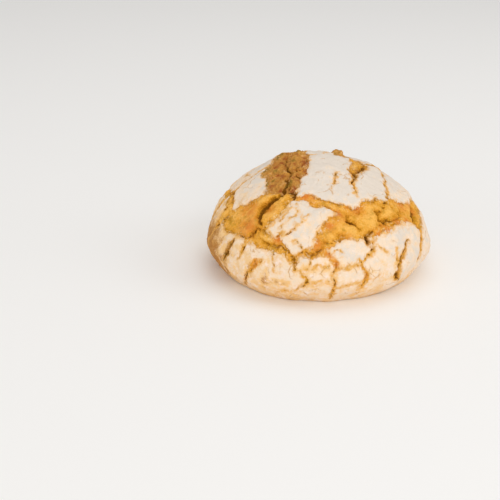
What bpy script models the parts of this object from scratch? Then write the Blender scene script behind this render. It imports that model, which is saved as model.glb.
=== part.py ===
"""Round corn bread loaf: one solid, flat underneath, with its cracked crust as true relief.

The finished solid is in metres, +Z up. Its base lies on z = 0 with the middle of the loaf's
footprint at the origin, and the side with the wide tear faces -Y. The crust is worked out in
millimetres. Places on it are two angles measured at a point on the loaf's axis, level with its
waist: the azimuth turns from -Y (0) through +X (90), and the polar angle opens from straight up
(0) to level (90) and on down to the base.
"""
import math

import bmesh
import bpy
import numpy as np

METRES = 0.001

# The smooth form: a low dome on a narrower foot.
HALF_WIDTH = 80.0
HALF_DEPTH = 84.0
HEIGHT = 81.5
WAIST_HEIGHT = 20.5
DOME_POWER = 1.70
FOOT_POWER = 1.60
FOOT_SHARE = 0.84
AXIS_LIMIT = 1e-6

# Lumps of the whole dough, as wavelength: height.
LUMPS = {52.0: 0.55, 21.0: 0.30}

# Bumps at a place: azimuth, polar angle, height and radius.
KNOBS = (
    (142, 15, 2.6, 4.4),
    (124, 16.3, 3.0, 3.4),
    (105, 22, 1.8, 2.6),
    (110, 35, 1.4, 5.0),
    (172, 9, 1.4, 6.0),
    (-118, 28, 2.4, 10.0),
    (-118, 15, 1.6, 7.0),
    (96, 36, 1.2, 12.0),
    (-12, 62, 1.0, 14.0),
    (-86, 88, -1.8, 22.0),
    (94, 64, 1.8, 9.0),
    (90, 86, -1.0, 14.0),
)

# Narrow tears are notches about as deep as they are wide, with rounded lips.
TEAR_DEPTH = 3.6
DEPTH_PER_HALF_WIDTH = 1.35
NOTCH_SHARE = 0.85
EDGE_ROUND = 1.3
EDGE_DROP = 0.6
LIP_HALF_WIDTHS = (0.3, 1.5)

# Wide tears are a step down to pillows of crumb that swell between folds.
WIDE_HALF_WIDTHS = (2.4, 4.5)
OPEN_HALF_WIDTH = 8.0
OPEN_STEP = 1.5
WALL_RUN = 1.1
FOLD_DIP = 1.15
FOLD_RUN = 1.9
FOLD_CUT = 1.0
FOLD_LIMIT = 4.2
USUAL_FOLD = 1.2
FOLD_SIZES = (0.35, 1.6)
FOLD_FADE = 1.8
PILLOW_RISE = 1.1
PILLOW_RUN = 3.2
PUFF = {14.0: 0.36, 7.5: 0.20}
PUFF_FADE = (0.3, 2.5)

# A tear's edge wanders off its stops by this much, as wavelength: distance.
EDGE_WANDER = {11.0: 0.50, 5.0: 0.38}

# The relief dies away towards the base.
FOOT_FADE = (2.0, 9.0)

# The mesh starts as a fine icosphere, cut off below the base, and ends with this many faces.
SPHERE_STEPS = 8
LOWEST_POLAR = 111.0
FACE_LIMIT = 11000
FLAT_WITHIN = 0.02

# Strips that a tear or an outline is cut into are about this long, in degrees.
STRIP_LENGTH = 3.0

# Wide torn areas, as corners of azimuth and polar angle.
OPENINGS = (
    # the belt from the left flank, under the crown plate, to the right flank
    ((-46, 50), (-34, 42), (-15, 46), (-3, 44.5), (12, 47.5), (26, 54.5), (38, 51), (52, 52),
     (66, 56), (82, 65), (98, 68), (98, 76), (84, 76), (72, 78), (64, 71), (49, 68.5), (35, 71.5),
     (28, 73), (18, 71), (10, 71.5), (6.5, 79), (-8, 79.5), (-9.5, 85.5), (-15.5, 79), (-32, 79),
     (-56, 78), (-64, 75), (-52, 57)),
    # the bare slope left of the crown plate
    ((-17, 46), (-20.5, 32), (-21.5, 18), (-38, 9.5), (-75, 6), (-108, 7), (-150, 18), (-162, 27),
     (-164, 38), (-158, 38), (-140, 25), (-126, 27), (-116, 33), (-100, 32), (-76, 42), (-66, 40),
     (-46, 50), (-34, 48)),
    # the gap right of the crown plate, and the one behind it
    ((118, 20), (70, 22), (43, 30.5), (43, 36.5), (57, 30.5), (97, 33.5), (122, 27)),
    ((108, 22), (110, 15), (122, 12), (140, 12), (156, 14), (166, 20), (146, 21), (136, 27),
     (122, 27)),
)

# Plates that stand alone inside a torn area.
ISLANDS = (
    ((-20, 50.5), (-9, 49), (-3, 51.5), (9, 53.5), (13, 56), (3, 63.5), (0, 70), (-2, 75),
     (-9, 78.5), (-16, 74.5), (-26, 71.5), (-29.5, 69.5), (-25.5, 62), (-21, 54)),
)

# Narrow tears, as stops of azimuth, polar angle and width.
TEARS = (
    # in the crown and on the right shoulder
    ((41, 36, 3.0), (36, 39.5, 1.6), (34.5, 47.5, 1.0)),
    ((160, 19, 3.4), (166, 28, 2.2), (163, 38, 1.6), (168, 48, 1.2)),
    ((-161, 36, 3.4), (-166, 46, 2.4), (-163, 56, 1.6), (-168, 66, 2.4)),
    ((29.5, 25.5, 1.4), (23, 29.5, 2.2), (14.5, 35.5, 1.2)),
    ((98, 44, 2.2), (77, 47, 1.8), (70, 50, 2.2), (63.5, 53.2, 3.0), (62.5, 56, 3.2)),
    # lower plates, left to right
    ((-46.5, 79, 2.8), (-48, 81.5, 5.4), (-49, 85, 6.4), (-52, 91, 2.2)),
    ((-39, 77, 3.4), (-39, 81, 3.2), (-40, 86, 1.0)),
    ((-26.5, 83.5, 1.2), (-29, 86, 3.6), (-33, 91, 3.0), (-39.5, 102, 1.4)),
    ((-21, 78, 1.8), (-19, 88, 1.0)),
    ((-9.5, 85, 1.6), (-4.5, 88.5, 1.5), (-3.5, 91.5, 2.8), (-10, 97, 1.5)),
    ((6.5, 78, 3.4), (8.5, 80.5, 4.2), (10, 83, 3.4), (9.5, 85, 1.6)),
    ((9.5, 84.5, 2.2), (8.5, 89, 2.2), (9.5, 97, 3.2), (9, 102, 2.2)),
    ((21.5, 81.5, 2.0), (24, 85, 2.6), (25.2, 88, 3.8), (23, 97, 2.0)),
    ((29.5, 69, 3.0), (28.2, 71.5, 4.4), (28, 74, 3.4), (29, 76.5, 1.6)),
    ((32, 72.5, 1.4), (30.5, 75.5, 3.0), (26.7, 80.7, 2.6), (22, 82, 1.8)),
    ((58, 79, 1.2), (55, 79.7, 2.4), (48, 83.5, 3.4), (44, 90, 5.0), (44, 94, 4.4), (46, 97, 1.4)),
    ((77, 76, 6.0), (71.5, 81.5, 4.8), (67, 86.5, 3.4), (63, 90.5, 1.6)),
    # across the plate that stands alone
    ((-22, 71.5, 2.2), (-13, 67, 1.9), (-12, 64.8, 1.9), (-5, 58.5, 0.8)),
)

# Folds where two pillows of crumb meet inside a torn area, as stops like a tear's.
FOLDS = (
    ((-25, 43, 2.6), (-18, 46, 2.6), (-20, 50, 1.2)),
    ((-20.5, 52, 1.0), (-11.5, 49, 0.9), (-7, 50.5, 1.8), (5, 51.7, 0.8), (13.5, 55.7, 0.9)),
    ((-33, 45, 3.4), (-35, 51.5, 4.4), (-38, 58, 4.8), (-38.5, 62.5, 3.8), (-28.5, 71.5, 0.7)),
    ((-46, 76.5, 1.6), (-36, 73, 1.6), (-32, 69.3, 1.2)),
    ((-30.5, 74, 0.8), (-18.5, 76.5, 1.4), (-10, 80.5, 1.2), (-9, 83, 1.3), (-9.5, 85.5, 0.8)),
    ((-9.5, 79.5, 0.7), (0, 77.7, 1.2), (4.5, 73, 1.0), (15, 69, 1.1)),
    ((61, 54, 1.6), (46.5, 58.5, 1.2), (41, 63.5, 1.1), (43, 66, 1.4), (47.5, 66, 1.6),
     (60, 66.8, 1.0), (66, 63.5, 1.2)),
    ((42, 65.8, 1.0), (34, 68, 1.2), (30, 69.5, 2.4), (28, 73, 3.0)),
    ((17, 58.5, 0.8), (20, 61.5, 2.2), (25, 67, 0.8)),
    ((88, 66, 2.4), (82, 70.5, 4.0), (70, 74.5, 1.6)),
    ((-130, 22, 1.2), (-84, 24, 2.6), (-46, 27.5, 3.0), (-37, 35, 2.4), (-33, 47, 3.0)),
    ((-60, 9, 1.0), (-42, 22, 1.4), (-41, 28, 1.0)),
    ((100, 32, 1.6), (75, 30, 2.0), (46, 32, 2.6), (41.5, 35.5, 2.4)),
)

# The far side is laid out by rule: plates grown round middles in rows, the widest tear between
# the first two rows, and everywhere else cracks that close up here and there.
FAR_FROM = 95.0
FAR_TO = 300.0
PLATE_ROWS = ((51.0, 44.0, 5.0), (88.0, 21.0, 4.0), (106.0, 34.0, 4.0))
ROW_START = 0.3
ROW_SHIFT = 0.30
FAR_BELT_POLAR = 70.0
FAR_BELT_SPREAD = 8.0
FAR_BELT_HALF = 4.4
BELT_SWING = {33.0: 1.0, 12.0: 0.5}
FAR_CRACK_HALF = 0.75
CRACK_SWING = {26.0: 0.60, 9.0: 0.30}
CROWN_FREE_POLARS = (26.0, 36.0)
LEAST_HALF = 0.3
NOWHERE = 99.0


def direction(azimuth, polar):
    """Unit vectors for angles in degrees."""
    turn = np.radians(azimuth)
    lean = np.radians(polar)
    flat = np.sin(lean)
    return np.stack([np.sin(turn) * flat, -np.cos(turn) * flat, np.cos(lean)], axis=-1)


def smooth_reach(rays):
    """Distance from the centre to the smooth form along each ray."""
    flat = np.hypot(rays[..., 0] / HALF_WIDTH, rays[..., 1] / HALF_DEPTH)
    flat = np.maximum(flat, AXIS_LIMIT)
    up = np.clip(rays[..., 2], 0.0, None) / (HEIGHT - WAIST_HEIGHT)
    down = np.clip(-rays[..., 2], 0.0, None)
    foot = WAIST_HEIGHT / (1.0 - FOOT_SHARE ** FOOT_POWER) ** (1.0 / FOOT_POWER)
    dome = (flat ** DOME_POWER + up ** DOME_POWER) ** (-1.0 / DOME_POWER)
    flank = (flat ** FOOT_POWER + (down / foot) ** FOOT_POWER) ** (-1.0 / FOOT_POWER)
    return np.where(rays[..., 2] >= 0.0, dome, flank)


def ripple(points, wavelength, seed, waves=28):
    """Smooth seeded noise of unit spread: plane waves of one length in random directions."""
    rng = np.random.default_rng(seed)
    heading = rng.normal(size=(waves, 3))
    heading /= np.linalg.norm(heading, axis=1, keepdims=True)
    phase = rng.uniform(0.0, 2.0 * math.pi, waves)
    swing = np.cos(points @ heading.T * (2.0 * math.pi / wavelength) + phase)
    return swing.sum(axis=1) * math.sqrt(2.0 / waves)


def roughen(points, heights, seed):
    """Sum of ripples given as wavelength: height."""
    return sum(height * ripple(points, wavelength, seed + k)
               for k, (wavelength, height) in enumerate(heights.items()))


def smoothstep(value, start, stop):
    share = np.clip((value - start) / (stop - start), 0.0, 1.0)
    return share * share * (3.0 - 2.0 * share)


def angles_of(points):
    """Azimuth and polar angle of points, in degrees."""
    polar = np.degrees(np.arccos(points[:, 2] / np.linalg.norm(points, axis=1)))
    return np.degrees(np.arctan2(points[:, 0], -points[:, 1])), polar


def far_plates(points, spots):
    """Signed distance to the tears between the far plates, and their half width."""
    rng = np.random.default_rng(5)
    middles = []
    for polar, step, stray in PLATE_ROWS:
        for turn in np.arange(FAR_FROM - ROW_START * step, FAR_TO + step, step):
            turn += rng.uniform(-1.0, 1.0) * ROW_SHIFT * step
            middles.append((turn, polar + rng.uniform(-1.0, 1.0) * stray))
    rays = direction(*np.array(middles).T)
    middles = rays * smooth_reach(rays)[:, None]
    away = np.linalg.norm(points[:, None, :] - middles[None], axis=2)
    order = np.argsort(away, axis=1)[:, :2]
    row = np.arange(len(points))
    nearest, second = away[row, order[:, 0]], away[row, order[:, 1]]
    between = np.linalg.norm(middles[order[:, 0]] - middles[order[:, 1]], axis=1)
    gap = 0.5 * (second ** 2 - nearest ** 2) / between

    turn, polar = angles_of(points)
    turn = turn % 360.0
    belt = np.exp(-((polar - FAR_BELT_POLAR) / FAR_BELT_SPREAD) ** 2)
    half = belt * (FAR_BELT_HALF + roughen(spots, BELT_SWING, 81))
    half += (1.0 - belt) * (FAR_CRACK_HALF + roughen(spots, CRACK_SWING, 85))
    half *= smoothstep(polar, *CROWN_FREE_POLARS)
    edge = np.where((turn > FAR_FROM) & (turn < FAR_TO), gap - half, NOWHERE)
    return edge, np.clip(half, LEAST_HALF, None)


def cut_into_strips(chains):
    """Short straight strips on the smooth form: start, end, and half width at each."""
    strips = []
    for chain in chains:
        stops = np.array(chain, dtype=float)
        steps = np.linalg.norm(np.diff(stops[:, :2], axis=0), axis=1)
        along = np.concatenate([[0.0], np.cumsum(steps)])
        count = max(2, int(along[-1] / STRIP_LENGTH) + 2)
        places = np.linspace(0.0, along[-1], count)
        azimuth, polar, width = (np.interp(places, along, stops[:, k]) for k in range(3))
        rays = direction(azimuth, polar)
        spots = rays * smooth_reach(rays)[:, None]
        half = 0.5 * width
        strips.append(np.column_stack([spots[:-1], spots[1:], half[:-1], half[1:]]))
    return np.concatenate(strips)


def nearest_strip(points, strips, batch=4000):
    """Signed distance to the edge of the nearest strip, and that strip's half width."""
    edge = np.empty(len(points))
    half = np.empty(len(points))
    start = strips[:, 0:3]
    run = strips[:, 3:6] - start
    run_squared = (run ** 2).sum(axis=1)
    for first in range(0, len(points), batch):
        part = slice(first, first + batch)
        away = points[part, None, :] - start[None]
        share = np.clip((away * run).sum(axis=2) / run_squared, 0.0, 1.0)
        gap = np.linalg.norm(away - share[..., None] * run, axis=2)
        radius = strips[:, 6] + share * (strips[:, 7] - strips[:, 6])
        pick = np.argmin(gap - radius, axis=1)
        row = np.arange(len(pick))
        edge[part] = gap[row, pick] - radius[row, pick]
        half[part] = radius[row, pick]
    return edge, half


def outline_distance(points, corners):
    """Signed distance to a closed outline on the crust, negative inside it."""
    corners = np.array(corners + corners[:1], dtype=float)
    rim = np.column_stack([corners, np.zeros(len(corners))])
    gap = nearest_strip(points, cut_into_strips([rim]))[0]
    middle = 0.5 * (corners[:, 0].min() + corners[:, 0].max())
    azimuth, polar = angles_of(points)
    azimuth = (azimuth - middle + 180.0) % 360.0 - 180.0 + middle
    inside = np.zeros(len(points), dtype=bool)
    for (az_0, pol_0), (az_1, pol_1) in zip(corners[:-1], corners[1:]):
        if pol_0 != pol_1:
            crossing = az_0 + (polar - pol_0) / (pol_1 - pol_0) * (az_1 - az_0)
            inside ^= ((pol_0 > polar) != (pol_1 > polar)) & (azimuth < crossing)
    return np.where(inside, -gap, gap)


def find_tears(places, spots):
    """Signed distance to the edge of the torn crust, and the tear's half width."""
    edge, half = nearest_strip(places, cut_into_strips(TEARS))
    open_edge = np.min([outline_distance(places, corners) for corners in OPENINGS], axis=0)
    for corners in ISLANDS:
        open_edge = np.maximum(open_edge, -outline_distance(places, corners))
    open_half = np.full(len(places), OPEN_HALF_WIDTH)
    for other_edge, other_half in ((open_edge, open_half), far_plates(places, spots)):
        half = half + (other_half - half) * smoothstep(edge - other_edge, -1.0, 1.0)
        edge = np.minimum(edge, other_edge)
    return edge, half


def crust_relief(spots):
    """How far the crust stands out of the smooth form."""
    wander = np.stack([roughen(spots, EDGE_WANDER, seed) for seed in (1, 11, 21)], axis=1)
    places = spots + wander
    edge, half = find_tears(places, spots)
    fold_edge, fold_half = nearest_strip(places, cut_into_strips(FOLDS))

    inside = np.clip(-edge, 0.0, None)
    wide = smoothstep(half, *WIDE_HALF_WIDTHS)
    notch = np.minimum(TEAR_DEPTH, DEPTH_PER_HALF_WIDTH * half)
    notch *= smoothstep(inside, 0.0, NOTCH_SHARE * half)
    wall = smoothstep(inside, 0.0, WALL_RUN)
    lip = EDGE_DROP * np.exp(-(np.clip(edge, 0.0, None) / EDGE_ROUND) ** 2)
    lip *= (1.0 - wall) * smoothstep(half, *LIP_HALF_WIDTHS)
    depth = notch * (1.0 - wide) + OPEN_STEP * wall * wide + lip

    fold_gap = np.clip(fold_edge, 0.0, None)
    size = np.clip(fold_half, *FOLD_SIZES) / USUAL_FOLD
    valley = FOLD_DIP * size * np.exp(-fold_gap / (FOLD_RUN * np.sqrt(size)))
    valley += FOLD_CUT * fold_half * smoothstep(-fold_edge, -0.5 * WALL_RUN, fold_half)
    valley *= smoothstep(inside, 0.0, FOLD_FADE)
    rise = 1.0 - np.exp(-np.minimum(inside, fold_gap) / PILLOW_RUN)
    puff = roughen(spots, PUFF, 41) * smoothstep(inside, *PUFF_FADE)

    relief = (PILLOW_RISE * rise + puff) * wide - depth - np.clip(valley, 0.0, FOLD_LIMIT)
    return relief * smoothstep(spots[:, 2] + WAIST_HEIGHT, *FOOT_FADE)


def loaf_points(rays):
    """Points of the finished crust along the rays, about the centre at waist height."""
    reach = smooth_reach(rays)
    spots = rays * reach[:, None]
    lump = roughen(spots, LUMPS, 31)
    for azimuth, polar, height, radius in KNOBS:
        ray = direction(azimuth, polar)
        gap = np.linalg.norm(spots - ray * smooth_reach(ray), axis=1)
        lump += height * np.exp(-(gap / radius) ** 2)
    return rays * (reach + lump + crust_relief(spots))[:, None]


def keep_above(form, level):
    everything = form.verts[:] + form.edges[:] + form.faces[:]
    bmesh.ops.bisect_plane(form, geom=everything, dist=1e-7, plane_co=(0.0, 0.0, level),
                           plane_no=(0.0, 0.0, 1.0), clear_inner=True)


def build_loaf():
    # A unit sphere without the cap that faces the table, each vertex a ray from the centre.
    form = bmesh.new()
    bmesh.ops.create_icosphere(form, subdivisions=SPHERE_STEPS, radius=1.0)
    keep_above(form, math.cos(math.radians(LOWEST_POLAR)))
    rays = np.array([vertex.co for vertex in form.verts])
    rays /= np.linalg.norm(rays, axis=1, keepdims=True)
    points = loaf_points(rays)
    points[:, 2] += WAIST_HEIGHT
    for vertex, point in zip(form.verts, points * METRES):
        vertex.co = point

    # One flat cut closes the base.
    keep_above(form, 0.0)
    rim = [edge for edge in form.edges if edge.is_boundary]
    bmesh.ops.contextual_create(form, geom=rim)
    bmesh.ops.recalc_face_normals(form, faces=form.faces[:])
    bmesh.ops.triangulate(form, faces=form.faces[:])
    full_count = len(form.faces)
    mesh = bpy.data.meshes.new("loaf")
    form.to_mesh(mesh)
    form.free()
    loaf = bpy.data.objects.new("loaf", mesh)
    bpy.context.scene.collection.objects.link(loaf)

    # Few large faces on the plates, many small ones along the tears.
    thin = loaf.modifiers.new("thin", "DECIMATE")
    thin.ratio = FACE_LIMIT / full_count
    thin.use_collapse_triangulate = True
    ready = loaf.evaluated_get(bpy.context.evaluated_depsgraph_get())
    lean = bpy.data.meshes.new_from_object(ready)
    loaf.modifiers.clear()
    loaf.data = lean
    lean.name = "loaf"

    # The middle of the footprint's box goes to the origin, the base to z = 0.
    corners = np.array([vertex.co for vertex in lean.vertices])
    low = corners.min(axis=0)
    high = corners.max(axis=0)
    shift = np.array([-0.5 * (low[0] + high[0]), -0.5 * (low[1] + high[1]), -low[2]])
    for vertex, corner in zip(lean.vertices, corners + shift):
        vertex.co = corner
        if corner[2] < FLAT_WITHIN * METRES:
            vertex.co.z = 0.0
    return loaf


def crust_material():
    material = bpy.data.materials.new("floured_crust")
    material.use_nodes = True
    shader = material.node_tree.nodes["Principled BSDF"]
    shader.inputs["Base Color"].default_value = (0.68, 0.47, 0.26, 1.0)
    shader.inputs["Roughness"].default_value = 0.85
    return material


def main():
    for item in list(bpy.data.objects):
        bpy.data.objects.remove(item, do_unlink=True)
    loaf = build_loaf()
    loaf.data.materials.append(crust_material())


main()
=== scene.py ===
import math

import bmesh
import bpy
import numpy as np
from mathutils import Matrix, Vector


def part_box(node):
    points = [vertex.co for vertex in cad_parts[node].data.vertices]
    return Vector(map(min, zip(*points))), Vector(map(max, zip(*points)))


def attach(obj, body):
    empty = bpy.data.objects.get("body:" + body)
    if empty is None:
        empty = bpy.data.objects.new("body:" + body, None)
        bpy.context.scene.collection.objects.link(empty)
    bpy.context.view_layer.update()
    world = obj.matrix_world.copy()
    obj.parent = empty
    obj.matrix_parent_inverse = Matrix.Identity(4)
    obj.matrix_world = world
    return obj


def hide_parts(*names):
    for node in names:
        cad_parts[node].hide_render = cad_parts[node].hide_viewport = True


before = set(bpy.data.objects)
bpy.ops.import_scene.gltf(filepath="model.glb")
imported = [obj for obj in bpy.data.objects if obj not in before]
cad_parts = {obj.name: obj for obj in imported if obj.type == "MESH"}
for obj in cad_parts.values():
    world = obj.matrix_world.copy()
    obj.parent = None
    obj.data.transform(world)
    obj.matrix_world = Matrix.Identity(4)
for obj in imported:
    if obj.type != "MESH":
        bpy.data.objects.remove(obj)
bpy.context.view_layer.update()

# Round corn bread loaf: a low dome whose floured crust has torn into plates over golden crumb.
# Crust sizes are in millimetres. Places on it are azimuth (0 faces -Y, 90 is +X) and polar angle
# (0 straight up, 90 level), both seen from a point on the axis at the height of the waist.

mm = 0.001
nowhere = 99.0                  # distance to a tear that isn't there, past anything that it changes
loafLow, loafHigh = (Vector(corner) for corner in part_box("loaf"))
loafSize = (loafHigh - loafLow) / mm

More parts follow.
